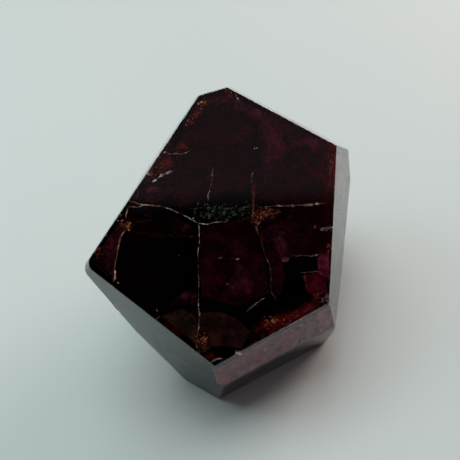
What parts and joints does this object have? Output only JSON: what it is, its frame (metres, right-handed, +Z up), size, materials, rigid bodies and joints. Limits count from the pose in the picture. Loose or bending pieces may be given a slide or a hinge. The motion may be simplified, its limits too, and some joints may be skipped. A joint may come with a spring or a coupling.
{
  "type": "polished garnet crystal",
  "caption": "Polished dark red garnet crystal, a many-sided freeform block with a large leaning table facet, standing on a flat base as a specimen or small ornament.",
  "frame": {"origin": "on the floor under the middle of the stone's bounding box", "axes": "+Z up out of the base, -Y is the front, the side the table facet leans to face, +X to the right seen from the front"},
  "size_m": [0.0566, 0.0578, 0.0515],
  "materials": {
    "garnet": "polished"
  },
  "bodies": {
    "root": {"garnet_stone": "garnet"}
  },
  "joints": []
}
